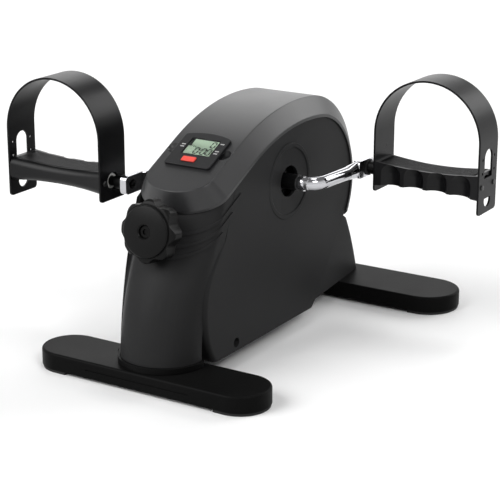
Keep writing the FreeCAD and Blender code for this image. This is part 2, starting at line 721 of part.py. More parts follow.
def flywheel_nuts():
    nuts = []
    for side in (-1, 1):
        nut = hexagon(8.5, 6).cut(disc(FLY_AXLE_R, -1, 7))
        nut.rotate(V(0, 0, 0), V(0, 1, 0), 90)
        x = PLATE_X + PLATE_T / 2 if side > 0 else -PLATE_X - PLATE_T / 2 - 6
        nut.translate(V(x, *FLY_C))
        nuts.append(nut)
    return group(nuts)


def axle_spacers():
    inner = PLATE_X - PLATE_T / 2
    spans = ((-inner, PULLEY_X - PULLEY_W / 2 - GAP), (FLY_X + FLY_W / 2 + GAP, inner))
    return group([tube_x(8.0, FLY_AXLE_R, a, b, *FLY_C) for a, b in spans])


def belt_loop(r1, r2):
    """Outline of a belt round the drive pulley (r1) and the small pulley (r2), as a face."""
    dy, dz = FLY_C[0], FLY_C[1] - CRANK_Z
    span = math.hypot(dy, dz)
    heading = math.atan2(dz, dy)
    lean = math.acos((r1 - r2) / span)

    def at(c, r, angle):
        return V(0, c[0] + r * math.cos(angle), c[1] + r * math.sin(angle))

    c1 = (0.0, CRANK_Z)
    a1, a2 = heading + lean, heading - lean
    edges = [arc(at(c1, r1, a1), at(c1, r1, heading + math.pi), at(c1, r1, a2)),
             line(at(c1, r1, a2), at(FLY_C, r2, a2)),
             arc(at(FLY_C, r2, a2), at(FLY_C, r2, heading), at(FLY_C, r2, a1)),
             line(at(FLY_C, r2, a1), at(c1, r1, a1))]
    return Part.Face(Part.Wire(edges))


def drive_belt():
    g = BELT_GAP
    outer = belt_loop(PULLEY_R + g + BELT_T, SMALL_PULLEY_R + g + BELT_T)
    inner = belt_loop(PULLEY_R + g, SMALL_PULLEY_R + g)
    belt = outer.cut(inner)
    belt.translate(V(PULLEY_X - 3.5, 0, 0))
    return belt.extrude(V(7, 0, 0)).Solids[0]


# ---- brake --------------------------------------------------------------
def brake_carrier():
    """Nut block that the screw drives along its guide."""
    block = box((-12, 12), (-10, 12), CARRIER)
    block = block.makeFillet(1.5, [e for e in block.Edges if e.BoundBox.ZLength > 10])
    return on_knob(block.cut(disc(SCREW_R + FIT, CARRIER[0] - 1, CARRIER[1] + 1)))


def brake_pad():
    """Felt pad with a face that matches the flywheel rim at the end of the travel."""
    rim = (FLY_C[0] - BRAKE_TRAVEL * math.cos(KNOB_TILT), FLY_C[1] + BRAKE_TRAVEL * math.sin(KNOB_TILT))
    pad = on_knob(box((-6.5, 6.5), (-10, 9), (CARRIER[1], CARRIER[1] + 14)))
    return pad.cut(rod_x(FLY_R + GAP, -30, 30, *rim))


def tension_screw():
    screw = disc(SCREW_R, 6, SCREW_END)
    head = disc(5.5, 2.8, 6).cut(hexagon(3.0, 2.2).translated(V(0, 0, 2.0)))
    return on_knob(screw.fuse(head).removeSplitter())


def screw_bush():
    """Plastic sleeve that carries the screw through the column's wall."""
    bush = disc(BUSH_R, KNOB_T + GAP, SOCKET_AT + 18).cut(disc(SCREW_R + FIT, 0, 60))
    return on_knob(bush)


def tension_knob():
    """Eight-lobed knob with a domed face and a recess for the screw's head."""
    deep = 2.3
    count = KNOB_LOBES * 6
    pts = []
    for i in range(count):
        t = 2 * math.pi * i / count
        r = KNOB_R - deep + deep * math.cos(KNOB_LOBES * t)
        pts.append(V(r * math.cos(t), r * math.sin(t), 0))
    curve = Part.BSplineCurve()
    curve.interpolate(Points=pts, PeriodicFlag=True)
    star = Part.Face(Part.Wire([curve.toShape()])).extrude(V(0, 0, KNOB_T))
    face_r, step, crown = 24.5, 3.6, KNOB_R + 0.5
    profile = [line(V(0, 0, 0), V(7.5, 0, 0)),
               arc(V(7.5, 0, 0), V(16, 0, 0.5), V(face_r - 1, 0, 1.6)),
               arc(V(face_r - 1, 0, 1.6), V(face_r + 0.1, 0, 2.3), V(face_r + 0.4, 0, step)),
               line(V(face_r + 0.4, 0, step), V(face_r + 0.6, 0, step + 1)),
               arc(V(face_r + 0.6, 0, step + 1), V(29.6, 0, 6.2), V(crown, 0, 11)),
               line(V(crown, 0, 11), V(crown, 0, KNOB_T - 2)),
               line(V(crown, 0, KNOB_T - 2), V(KNOB_R - 2, 0, KNOB_T)),
               line(V(KNOB_R - 2, 0, KNOB_T), V(0, 0, KNOB_T)),
               line(V(0, 0, KNOB_T), V(0, 0, 0))]
    turned = Part.Face(Part.Wire(profile)).revolve(V(0, 0, 0), V(0, 0, 1), 360)
    knob = star.common(turned)
    knob = knob.cut(disc(6.3, -1, 6)).cut(disc(SCREW_R, 5, KNOB_T + 1))
    knob = knob.cut(Part.makeCone(7.6, 6.3, 1.2, V(0, 0, -0.05)))
    return on_knob(knob)


# ---- meter --------------------------------------------------------------
def meter_outline(z0, z1):
    """Meter face: straight sides, small corners and a bowed upper edge."""
    w, l = METER_W / 2, METER_L / 2
    high = l - METER_BOW
    edges = [line(V(-w, -l, 0), V(w, -l, 0)), line(V(w, -l, 0), V(w, high, 0)),
             arc(V(w, high, 0), V(0, l, 0), V(-w, high, 0)), line(V(-w, high, 0), V(-w, -l, 0))]
    plate = prism_z(edges, z0, z1)
    corners = [e for e in plate.Edges if e.BoundBox.ZLength > (z1 - z0) * 0.9]
    plate = plate.makeFillet(3.0, corners)
    return plate.makeFillet(0.7, [e for e in plate.Edges if e.BoundBox.ZMin > z1 - 0.01])


def slab(width, length, z0, z1, centre=(0.0, 0.0), radius=1.0):
    block = prism_z(rounded_rect(width / 2, length / 2, radius), z0, z1)
    block.translate(V(centre[0], centre[1], 0))
    return block


def window(z0, z1):
    """Block in the shape of the display window, whose upper left part stands further in."""
    w, l = LENS_W / 2 - 1.5, LENS_L / 2 - 1.5
    points = [V(-w, -l, 0), V(w, -l, 0), V(w, l, 0), V(WINDOW_STEP - w, l, 0),
              V(WINDOW_STEP - w, 0.5, 0), V(-w, 0.5, 0)]
    return prism_z(rounded_chain(points, [0.5] * 6), z0, z1).translated(V(*LENS_AT, 0))


def meter_case():
    case = meter_outline(METER_SEAT, METER_RISE)
    plug = slab(METER_PLUG_W, METER_PLUG_L, -METER_DEEP, METER_SEAT, radius=2.0)
    plug = plug.cut(slab(METER_PLUG_W - 3, METER_PLUG_L - 3, -METER_DEEP - 1, METER_SEAT + 1, radius=1.0))
    case = case.fuse(plug)
    case = case.cut(slab(LENS_W, LENS_L, METER_RISE - LENS_T, 10, LENS_AT))
    case = case.cut(window(-1, 10))
    bw, bl = BUTTON[0] + 2 * GAP, BUTTON[1] + 2 * GAP
    return on_slope(case.cut(slab(bw, bl, -1, 10, BUTTON_AT, 1.2)).removeSplitter())


def meter_lens():
    return on_slope(slab(LENS_W, LENS_L, METER_RISE - LENS_T, METER_RISE, LENS_AT))


def meter_display():
    return on_slope(window(METER_SEAT, METER_RISE - LENS_T))


def meter_board():
    return on_slope(slab(METER_PLUG_W - 3, METER_PLUG_L - 3, -1.6, METER_SEAT))


def reset_button():
    button = slab(BUTTON[0], BUTTON[1], METER_SEAT + 1.2, METER_RISE + 1.0, BUTTON_AT)
    top = [e for e in button.Edges if e.BoundBox.ZMin > METER_RISE + 0.9]
    return on_slope(button.makeFillet(0.5, top))


def meter_back():
    """Back plate with a ring that holds the cell."""
    plate = slab(METER_PLUG_W, METER_PLUG_L, -METER_DEEP - 2, -METER_DEEP, radius=2.0)
    plate = plate.fuse(ring(CELL_R + 1.5, CELL_R, -METER_DEEP, -METER_DEEP + 4).translated(V(*CELL_AT, 0)))
    return on_slope(plate)


def button_cell():
    return on_slope(disc(CELL_R, -METER_DEEP, -METER_DEEP + 5.4).translated(V(*CELL_AT, 0)))


def meter_cradle():
    """Open box under the hood that the meter drops into."""
    w, l = METER_PLUG_W + 2 * GAP, METER_PLUG_L + 2 * GAP
    cradle = slab(w + 4.4, l + 4.4, -METER_DEEP - 5, 0, radius=2.5)
    cradle = cradle.cut(slab(w, l, -METER_DEEP - 3, 1, radius=2.0))
    return on_slope(cradle.cut(disc(3.5, -30, 0))).common(under_line(WALL))


# ---- pedals, built about the right pedal's own centre -------------------
def placed(shape, side):
    """Put a pedal piece on its spindle; the left pedal is the right one turned half round."""
    moved = shape.copy()
    moved.translate(V(PEDAL_X, CRANK_R, CRANK_Z))
    return moved if side > 0 else half_turn(moved)


def pedal_body():
    """Tread with a dished top, a waisted long side and a scalloped one."""
    half = PEDAL_HALF - STRAP_T
    wide = PEDAL_DEPTH / 2
    top, low = TREAD_TOP, TREAD_BOTTOM
    edges = [arc(V(-half, 0, top), V(0, 0, top - 3.5), V(half, 0, top)), line(V(half, 0, top), V(half, 0, low)),
             arc(V(half, 0, low), V(0, 0, low + 2.5), V(-half, 0, low)), line(V(-half, 0, low), V(-half, 0, top))]
    face = Part.Face(Part.Wire(edges))
    face.translate(V(0, -wide, 0))
    body = face.extrude(V(0, 2 * wide, 0))
    dip = 4.0
    waist_r = (half * half + dip * dip) / (2 * dip)
    body = body.cut(Part.makeCylinder(waist_r, 60, V(0, wide - dip + waist_r, -30)))
    rounded = [e for e in body.Edges if e.CenterOfMass.y > wide - dip - 1 and e.BoundBox.XLength > half]
    body = body.makeFillet(8.0, rounded)
    pitch = 2 * (half - 5) / SCALLOPS
    reach, depth = pitch * 0.42, 5.5
    scoop_r = (reach * reach + depth * depth) / (2 * depth)
    for i in range(SCALLOPS):
        x = (i - (SCALLOPS - 1) / 2) * pitch
        y = -wide + depth - scoop_r
        body = body.cut(Part.makeCylinder(scoop_r, 30 + SCOOP_Z, V(x, y, -30)))
        body = body.cut(Part.makeSphere(scoop_r, V(x, y, SCOOP_Z)))
    body = body.cut(rod_x(BUSH_OUT, -half - 1, -half + 14)).cut(rod_x(BUSH_OUT, half - 28, half - 14))
    body = body.cut(rod_x(SPINDLE_R + 1, -half, half)).cut(rod_x(10.0, half - 14, half + 1))
    for side in (-1, 1):
        x = side * half
        for y in PEG_Y:
            lo, hi = sorted((x, x - side * 8))
            body = body.cut(rod_x(PEG_R, lo - 0.01, hi + 0.01, y, 0))
    for i in range(4):
        x = (i - 1.5) * 24
        for y in ((-14.5, -11.0), (11.0, 14.5)):
            body = body.cut(box((x - 9, x + 9), y, (low - 2, 4)))
    return body


def strap():
    """Flexible band: inner leg fixed, arch, outer leg with a slot and rows of peg holes."""
    w = PEDAL_DEPTH / 2
    spring = STRAP_TOP - PEDAL_HALF

    r0, r1 = PEDAL_HALF - STRAP_T, PEDAL_HALF
    outline = [line(V(-r1, 0, STRAP_INNER_END), V(-r1, 0, spring)),
               arc(V(-r1, 0, spring), V(0, 0, spring + r1), V(r1, 0, spring)),
               line(V(r1, 0, spring), V(r1, 0, STRAP_OUTER_END)),
               line(V(r1, 0, STRAP_OUTER_END), V(r0, 0, STRAP_OUTER_END)),
               line(V(r0, 0, STRAP_OUTER_END), V(r0, 0, spring)),
               arc(V(r0, 0, spring), V(0, 0, spring + r0), V(-r0, 0, spring)),
               line(V(-r0, 0, spring), V(-r0, 0, STRAP_INNER_END)),
               line(V(-r0, 0, STRAP_INNER_END), V(-r1, 0, STRAP_INNER_END))]
    face = Part.Face(Part.Wire(outline))
    face.translate(V(0, -w, 0))
    band = face.extrude(V(0, 2 * w, 0))
    ends = [e for e in band.Edges if e.BoundBox.XLength > 1 and e.BoundBox.ZMax < 0
            and abs(abs(e.CenterOfMass.y) - w) < 0.01]
    band = band.makeFillet(4.0, ends)
    x = (PEDAL_HALF - STRAP_T - 1, PEDAL_HALF + 1)
    band = band.cut(box(x, (-SLOT_R, SLOT_R), SLOT_Z)).cut(rod_x(SLOT_R, x[0], x[1], 0, SLOT_Z[1]))
    half_round = rod_x(HOLE_R, x[0], x[1], 0, HOLE_Z).cut(box((x[0] - 1, x[1] + 1), (-20, 20), (HOLE_Z + 2, 20)))
    band = band.cut(half_round)
    for z in (0, 14, 28):
        for y in PEG_Y:
            band = band.cut(rod_x(PEG_R, x[0], x[1], y, z))
    inner = (-x[1], -x[0])
    band = band.cut(rod_x(9.0, inner[0], inner[1]))
    for y in PEG_Y:
        band = band.cut(rod_x(PEG_R, inner[0], inner[1], y, 0))
    return band


def strap_pegs():
    """Pegs through both legs of the strap, with domed heads outside."""
    pegs = []
    for side in (-1, 1):
        for y in PEG_Y:
            peg = disc(PEG_R, -8 - STRAP_T, 0).fuse(disc(PEG_R + 1.1, 0, 1.6))
            peg = peg.makeFillet(1.0, [e for e in peg.Edges if e.BoundBox.ZMin > 1.5])
            peg.rotate(V(0, 0, 0), V(0, 1, 0), 90 * side)
            peg.translate(V(side * PEDAL_HALF, y, 0))
            pegs.append(peg)
    return group(pegs)


def pedal_spindle():
    """Spindle riveted in the arm, with a shoulder, running through the pedal."""
    arm = ARM_X - PEDAL_X
    end = PEDAL_HALF - STRAP_T - 8
    spindle = rod_x(SPINDLE_R, arm - 4, end)
    rivet = rod_x(2.8, arm - 6.5, arm - 4)
    rivet = rivet.makeFillet(1.2, [e for e in rivet.Edges if e.BoundBox.XMax < arm - 6.4])
    shoulder = rod_x(7.0, arm + 6, arm + 15)
    return spindle.fuse([rivet, shoulder]).removeSplitter()


def spindle_washer():
    arm = ARM_X - PEDAL_X
    return tube_x(8.5, SPINDLE_R, arm + 4, arm + 6)


def spindle_nut():
    end = PEDAL_HALF - STRAP_T - 8
    nut = hexagon(8.0, 5).cut(disc(SPINDLE_R, -1, 7))
    nut.rotate(V(0, 0, 0), V(0, 1, 0), 90)
    nut.translate(V(end - 5, 0, 0))
    return nut


def pedal_bushes():
    half = PEDAL_HALF - STRAP_T
    return group([tube_x(BUSH_OUT, SPINDLE_R + FIT, a, b) for a, b in ((-half, -half + 14), (half - 28, half - 14))])


def build():
    left, right = shells()
    nodes = {
        "left_shell": left, "right_shell": right, "hood_cover": hood_cover(),
        "front_collar": front_collar(), "cover_screws": cover_screws(),
        "front_foot": front_foot_cover(), "rear_foot": foot_cover(REAR_FOOT),
        "front_foot_tube": foot_tube(FRONT_FOOT), "rear_foot_tube": foot_tube(REAR_FOOT),
        "front_foot_pads": foot_pads(FRONT_FOOT), "rear_foot_pads": foot_pads(REAR_FOOT),
        "front_foot_bolts": foot_bolts(FRONT_FOOT), "rear_foot_bolts": foot_bolts(REAR_FOOT),
        "main_frame": main_frame(), "speed_sensor": speed_sensor(),
        "left_crank_bearing": crank_bearing(-1), "right_crank_bearing": crank_bearing(1),
        "crank_axle": crank_axle(), "left_axle_sleeve": axle_sleeve(-1), "right_axle_sleeve": axle_sleeve(1),
        "drive_pulley": drive_pulley(), "speed_magnet": speed_magnet(),
        "right_crank_arm": crank_arm(), "left_crank_arm": half_turn(crank_arm()),
        "arm_pins": group([cross_pin(-1), cross_pin(1)]),
        "flywheel": flywheel(), "small_pulley": small_pulley(), "flywheel_bearings": flywheel_bearings(),
        "flywheel_axle": flywheel_axle(), "flywheel_nuts": flywheel_nuts(), "axle_spacers": axle_spacers(),
        "drive_belt": drive_belt(),
        "brake_carrier": brake_carrier(), "brake_pad": brake_pad(), "tension_screw": tension_screw(),
        "screw_bush": screw_bush(), "tension_knob": tension_knob(),
        "meter_case": meter_case(), "meter_lens": meter_lens(), "meter_display": meter_display(),
        "meter_board": meter_board(), "reset_button": reset_button(), "meter_back": meter_back(),
        "button_cell": button_cell(), "meter_cradle": meter_cradle(),
    }
    for name, side in (("left", -1), ("right", 1)):
        nodes[name + "_pedal"] = placed(pedal_body(), side)
        nodes[name + "_strap"] = placed(strap(), side)
        nodes[name + "_strap_pegs"] = placed(strap_pegs(), side)
        nodes[name + "_spindle"] = placed(pedal_spindle(), side)
        nodes[name + "_spindle_washer"] = placed(spindle_washer(), side)
        nodes[name + "_spindle_nut"] = placed(spindle_nut(), side)
        nodes[name + "_pedal_bushes"] = placed(pedal_bushes(), side)
    return nodes


os.makedirs("parts", exist_ok=True)
for name, shape in build().items():
    shape.exportStep("parts/" + name + ".step")
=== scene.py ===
import json
import math

import bmesh
import bpy
from mathutils import Matrix, Vector
from mathutils.bvhtree import BVHTree


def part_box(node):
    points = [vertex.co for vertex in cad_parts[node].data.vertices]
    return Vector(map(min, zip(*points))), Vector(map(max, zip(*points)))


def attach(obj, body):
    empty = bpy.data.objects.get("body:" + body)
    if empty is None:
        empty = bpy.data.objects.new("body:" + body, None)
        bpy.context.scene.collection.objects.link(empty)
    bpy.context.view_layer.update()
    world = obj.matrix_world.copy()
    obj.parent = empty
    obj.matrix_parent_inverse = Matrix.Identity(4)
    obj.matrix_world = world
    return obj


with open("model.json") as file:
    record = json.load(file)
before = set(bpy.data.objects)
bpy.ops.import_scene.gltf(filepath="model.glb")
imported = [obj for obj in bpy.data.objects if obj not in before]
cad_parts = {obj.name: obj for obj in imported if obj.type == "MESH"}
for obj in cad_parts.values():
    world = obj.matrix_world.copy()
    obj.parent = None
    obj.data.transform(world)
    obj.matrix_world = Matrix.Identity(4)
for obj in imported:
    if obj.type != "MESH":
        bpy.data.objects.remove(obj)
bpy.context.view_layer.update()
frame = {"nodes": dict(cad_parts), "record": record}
scene = bpy.context.scene


# ---- camera -------------------------------------------------------------
AZIMUTH, ELEVATION = math.radians(31.85), math.radians(17.68)
DISTANCE = 1.692          # m, from the point looked at
TARGET_HEIGHT = 0.0876    # of the point looked at, above the middle of the footprint
TARGET_RIGHT = 0.0005     # the same point, moved to the camera's right
LENS, SENSOR = 118.0, 36.0
CLIP = (0.05, 40.0)


def place_camera():
    cam = bpy.data.objects.new("camera", bpy.data.cameras.new("camera"))
    scene.collection.objects.link(cam)
    cam.data.lens = LENS
    cam.data.sensor_width = SENSOR
    right = Vector((math.cos(AZIMUTH), math.sin(AZIMUTH), 0))
    back = Vector((math.sin(AZIMUTH) * math.cos(ELEVATION), -math.cos(AZIMUTH) * math.cos(ELEVATION),
                   math.sin(ELEVATION)))
    cam.location = Vector((0, 0, TARGET_HEIGHT)) + TARGET_RIGHT * right + back * DISTANCE
    cam.rotation_mode = "QUATERNION"
    cam.rotation_quaternion = (-back).to_track_quat("-Z", "Y")
    cam.data.clip_start, cam.data.clip_end = CLIP
    scene.camera = cam


place_camera()


# ---- materials ----------------------------------------------------------
class Nodes:
    """Builds one material's node tree."""

    def __init__(self, name):
        self.mat = bpy.data.materials.new(name)
        self.mat.use_nodes = True
        self.tree = self.mat.node_tree
        self.tree.nodes.clear()
        self.out = self.add("ShaderNodeOutputMaterial")
        self.shader = self.add("ShaderNodeBsdfPrincipled")
        self.link(self.shader, "BSDF", self.out, "Surface")
        self.coords = self.add("ShaderNodeTexCoord")

    def add(self, kind, **values):
        node = self.tree.nodes.new(kind)
        for key, value in values.items():
            if key in node.inputs:
                node.inputs[key].default_value = value
            else:
                setattr(node, key, value)
        return node

    def link(self, a, out, b, into):
        self.tree.links.new(a.outputs[out], b.inputs[into])

    def noise(self, scale, detail=3.0, rough=0.55, stretch=(1, 1, 1)):
        node = self.add("ShaderNodeTexNoise", Scale=scale, Detail=detail, Roughness=rough)
        mapping = self.add("ShaderNodeMapping", Scale=stretch)
        self.link(self.coords, "Object", mapping, "Vector")
        self.link(mapping, "Vector", node, "Vector")
        return node

    def ramp(self, source, out, low, high, a, b):
        """Map a 0-1 output between low and high onto a..b."""
        node = self.add("ShaderNodeMapRange")
        node.inputs["From Min"].default_value = low
        node.inputs["From Max"].default_value = high
        node.inputs["To Min"].default_value = a
        node.inputs["To Max"].default_value = b
        self.link(source, out, node, "Value")
        return node

    def colour(self, source, out, low, high, a, b):
        node = self.add("ShaderNodeValToRGB")
        node.color_ramp.elements[0].position = low
        node.color_ramp.elements[0].color = (*a, 1)
        node.color_ramp.elements[1].position = high
        node.color_ramp.elements[1].color = (*b, 1)
        self.link(source, out, node, "Fac")
        return node

    def bump(self, layers):
        """Stack (node, output, strength, distance) height layers onto the shader's normal."""
        previous = None
        for source, out, strength, distance in layers:
            node = self.add("ShaderNodeBump", Strength=strength, Distance=distance)
            self.link(source, out, node, "Height")
            if previous is not None:
                self.link(previous, "Normal", node, "Normal")
            previous = node
        self.link(previous, "Normal", self.shader, "Normal")


def moulded(name, dark, light, rough, grain=900.0, depth=0.00012, strength=0.35, specular=0.5):
    """Moulded plastic, print or paint: fine grain, slow drift in its colour and gloss."""
    n = Nodes(name)
    drift = n.noise(9.0, 4.0)
    fine = n.noise(grain, 2.0, 0.6)
    coarse = n.noise(grain * 0.28, 2.0, 0.5)
    n.link(n.colour(drift, "Fac", 0.3, 0.7, dark, light), "Color", n.shader, "Base Color")
    n.link(n.ramp(drift, "Fac", 0.3, 0.7, rough - 0.04, rough + 0.05), "Result", n.shader, "Roughness")
    n.shader.inputs["Specular IOR Level"].default_value = specular
    n.bump([(coarse, "Fac", strength * 0.4, depth * 1.5), (fine, "Fac", strength, depth)])
    return n.mat


def metal(name, dark, light, rough, scale=300.0, strength=0.08):
    """Metal with fine mottling in its gloss and a slow drift in its tone."""
    n = Nodes(name)
    drift = n.noise(25.0, 4.0)
    mottle = n.noise(scale, 3.0, 0.6)
    n.link(n.colour(drift, "Fac", 0.3, 0.7, dark, light), "Color", n.shader, "Base Color")
    n.link(n.ramp(mottle, "Fac", 0.3, 0.7, rough * 0.8, rough * 1.3), "Result", n.shader, "Roughness")
    n.shader.inputs["Metallic"].default_value = 1.0
    n.bump([(mottle, "Fac", strength, 0.0001)])
    return n.mat


def rubbery(name, dark, light, rough, specular=0.5):
    """Rubber or soft plastic with a very fine matt grain."""
    n = Nodes(name)
    drift = n.noise(14.0, 4.0)
    fine = n.noise(1500.0, 2.0)
    n.link(n.colour(drift, "Fac", 0.3, 0.7, dark, light), "Color", n.shader, "Base Color")
    n.link(n.ramp(drift, "Fac", 0.3, 0.7, rough - 0.05, rough + 0.05), "Result", n.shader, "Roughness")
    n.shader.inputs["Specular IOR Level"].default_value = specular
    n.bump([(fine, "Fac", 0.3, 0.0001)])
    return n.mat


def fibrous(name, dark, light):
    """Pressed felt."""
    n = Nodes(name)
    fibres = n.noise(2200.0, 5.0, 0.75, (1, 0.35, 1))
    n.link(n.colour(fibres, "Fac", 0.3, 0.7, dark, light), "Color", n.shader, "Base Color")
    n.shader.inputs["Roughness"].default_value = 0.95
    n.shader.inputs["Sheen Weight"].default_value = 0.3
    n.bump([(fibres, "Fac", 0.8, 0.0004)])
    return n.mat


def clear(name):
    """Clear plastic with faint smears."""
    n = Nodes(name)
    smear = n.noise(40.0, 3.0)
    n.link(n.ramp(smear, "Fac", 0.3, 0.7, 0.02, 0.07), "Result", n.shader, "Roughness")
    n.shader.inputs["Base Color"].default_value = (0.97, 0.98, 0.97, 1)
    n.shader.inputs["Transmission Weight"].default_value = 1.0
    n.shader.inputs["IOR"].default_value = 1.2
    return n.mat


MATERIALS = {
    "body_plastic": moulded("body_plastic", (0.022, 0.022, 0.0225), (0.027, 0.027, 0.0275), 0.44,
                            specular=0.06),
    "hood_plastic": moulded("hood_plastic", (0.013, 0.013, 0.014), (0.018, 0.018, 0.019), 0.38,
                            specular=0.5),
    # feet and collar: matt black plastic; its colour, darker than body_plastic, is painted shade for
    # the shade they sit in
    "foot_plastic_painted_shade": moulded("foot_plastic_painted_shade", (0.004, 0.004, 0.004), (0.006, 0.006, 0.006), 0.46,
                            specular=0.04),
    "foot_rubber": rubbery("foot_rubber", (0.008, 0.008, 0.008), (0.014, 0.014, 0.014), 0.8),
    "frame_steel": moulded("frame_steel", (0.012, 0.012, 0.012), (0.02, 0.02, 0.02), 0.35, 500.0),
    "zinc_steel": metal("zinc_steel", (0.55, 0.55, 0.56), (0.68, 0.68, 0.69), 0.32),
    "black_steel": metal("black_steel", (0.008, 0.008, 0.008), (0.014, 0.014, 0.014), 0.4),
    "dull_steel": metal("dull_steel", (0.06, 0.06, 0.06), (0.09, 0.09, 0.09), 0.45),
    "chrome_arm": metal("chrome_arm", (0.48, 0.48, 0.50), (0.56, 0.56, 0.58), 0.09, scale=700.0,
                        strength=0.02),
    "dark_plastic": moulded("dark_plastic", (0.003, 0.003, 0.0035), (0.006, 0.006, 0.0065), 0.36,
                            specular=0.2),
    "white_plastic": moulded("white_plastic", (0.68, 0.68, 0.65), (0.76, 0.76, 0.73), 0.45),
    "magnet": metal("magnet", (0.3, 0.3, 0.31), (0.38, 0.38, 0.39), 0.3),
    "cast_wheel": metal("cast_wheel", (0.18, 0.18, 0.19), (0.26, 0.26, 0.27), 0.5, scale=120.0,
                        strength=0.3),
    "belt_rubber": rubbery("belt_rubber", (0.015, 0.015, 0.015), (0.022, 0.022, 0.022), 0.7),
    "felt": fibrous("felt", (0.42, 0.39, 0.33), (0.55, 0.52, 0.46)),
    "meter_plastic": moulded("meter_plastic", (0.010, 0.010, 0.011), (0.014, 0.014, 0.015), 0.4,
                             1200.0, strength=0.15, specular=0.2),
    "clear_lens": clear("clear_lens"),
    "lcd": moulded("lcd", (0.42, 0.54, 0.41), (0.46, 0.58, 0.45), 0.5, 1800.0, strength=0.05,
                   specular=0.1),
    "board": moulded("board", (0.02, 0.12, 0.05), (0.03, 0.16, 0.07), 0.4, 400.0, strength=0.1),
    "red_button": moulded("red_button", (0.80, 0.055, 0.035), (0.86, 0.075, 0.05), 0.42, 1400.0,
                          strength=0.15),
    "strap_rubber": rubbery("strap_rubber", (0.004, 0.004, 0.0045), (0.006, 0.006, 0.0065), 0.32,
                            specular=0.12),
    "knob_plastic": moulded("knob_plastic", (0.004, 0.004, 0.004), (0.007, 0.007, 0.007), 0.3,
                            specular=0.1),
    "print": moulded("print", (0.60, 0.60, 0.60), (0.68, 0.68, 0.68), 0.5, 2500.0, strength=0.05),
    "segments": moulded("segments", (0.010, 0.015, 0.012), (0.016, 0.021, 0.017), 0.6, 2500.0,
                        strength=0.05),
}
# nodes that are finished differently from the rest of their material slot; the feet and the collar get
# a matt black plastic whose extra darkness over the body's is painted shade
FINISH = {"hood_cover": "hood_plastic", "front_collar": "foot_plastic_painted_shade",
          "front_foot": "foot_plastic_painted_shade", "rear_foot": "foot_plastic_painted_shade",
          "left_spindle_washer": "foot_rubber", "right_spindle_washer": "foot_rubber",
          "left_spindle": "black_steel", "right_spindle": "black_steel",
          "left_strap_pegs": "dull_steel", "right_strap_pegs": "dull_steel",
          "tension_knob": "knob_plastic"}


WELD = 1e-6                         # m
EDGE_ROUND = 0.0004                 # m, on every sharp edge
EDGE_ANGLE = math.radians(32.0)     # an edge is sharp from here
FLAT_WEIGHT = 80                    # how far large faces keep their own normal


def smooth_cad(obj):
    """Weld a CAD node's facets, round its sharp edges a little and shade it smooth."""
    weld = obj.modifiers.new("weld", "WELD")
    weld.merge_threshold = WELD
    for poly in obj.data.polygons:
        poly.use_smooth = True
    mesh = obj.data
    if mesh.has_custom_normals:
        with bpy.context.temp_override(object=obj, active_object=obj, selected_objects=[obj]):
            bpy.ops.mesh.customdata_custom_splitnormals_clear()
    bevel = obj.modifiers.new("edge", "BEVEL")
    bevel.width = EDGE_ROUND
    bevel.segments = 2
    bevel.limit_method = "ANGLE"
    bevel.angle_limit = EDGE_ANGLE
    even = obj.modifiers.new("even", "WEIGHTED_NORMAL")
    even.mode = "FACE_AREA"
    even.weight = FLAT_WEIGHT


slots = {row["node"]: row["material_slot"] for row in frame["record"]["subparts"]}
for node, obj in frame["nodes"].items():
    obj.data.materials.clear()
    obj.data.materials.append(MATERIALS[FINISH.get(node, slots[node])])
    smooth_cad(obj)


# ---- details on the meter --------------------------------------------------
SEGMENT_W = 0.0014          # bar of a digit
SEGMENT_GAP = 0.00015       # left free at each end of a bar
DIGIT_WIDTH, DIGIT_LEAN = 0.52, 0.08          # of the digit's height
DIGIT_Z = (-0.0008, -0.00074)                 # under the lens, from the face of the case
DIGIT_PLACES = ((0.0098, 0.0050, 0.0080),     # x, y, height: "0" above "0:00"
                (-0.0040, -0.0060, 0.0084), (0.0038, -0.0060, 0.0084), (0.0098, -0.0060, 0.0084))
COLON_X, COLON_Y = 0.0018, (-0.0040, -0.0010)
COLON_DOT = SEGMENT_W * 0.8
MARK_Z = (0.00002, 0.00008)
MARK_ROWS = ((-0.0215, 0.0045), (-0.0215, 0.0012),
             (0.0190, 0.0115), (0.0190, 0.0005), (0.0190, -0.0030))
MARK_TICKS, MARK_PITCH, MARK_W, MARK_H = 4, 0.0011, 0.0007, 0.0015
# bars of a zero, each from one corner to another; corners count 0-1 across and 0-2 up
ZERO = ((0, 2, 1, 2), (1, 2, 1, 1), (1, 1, 1, 0), (0, 0, 1, 0), (0, 1, 0, 0), (0, 2, 0, 1))


def node_points(node):
    obj = frame["nodes"][node]
    return [obj.matrix_world @ v.co for v in obj.data.vertices]


def meter_frame():
    """Matrix of the meter's own frame: Z out of its face, origin in the middle of the face."""
    joint = next(j for j in frame["record"]["behaviour"]["joints"] if j["name"] == "meter_lift")
    out = Vector(joint["axis"]).normalized()
    across = Vector((1, 0, 0))
    uphill = out.cross(across)
    turn = Matrix((across, uphill, out)).transposed()
    local = [turn.inverted() @ p for p in node_points("meter_case")]
    low = [min(p[i] for p in local) for i in range(3)]
    high = [max(p[i] for p in local) for i in range(3)]
    centre = Vector(((low[0] + high[0]) / 2, (low[1] + high[1]) / 2, high[2]))
    return Matrix.Translation(turn @ centre) @ turn.to_4x4()


def new_object(name, bm, material, matrix):
    mesh = bpy.data.meshes.new(name)
    bm.to_mesh(mesh)
    bm.free()
    mesh.transform(matrix)
    mesh.materials.append(MATERIALS[material])
    obj = bpy.data.objects.new(name, mesh)
    scene.collection.objects.link(obj)
    return obj


def slab(bm, points, z0, z1):
    """Thin prism over a convex outline."""
    low = [bm.verts.new((x, y, z0)) for x, y in points]
    high = [bm.verts.new((x, y, z1)) for x, y in points]
    bm.faces.new(low[::-1])
    bm.faces.new(high)
    for i in range(len(points)):
        j = (i + 1) % len(points)
        bm.faces.new((low[i], low[j], high[j], high[i]))


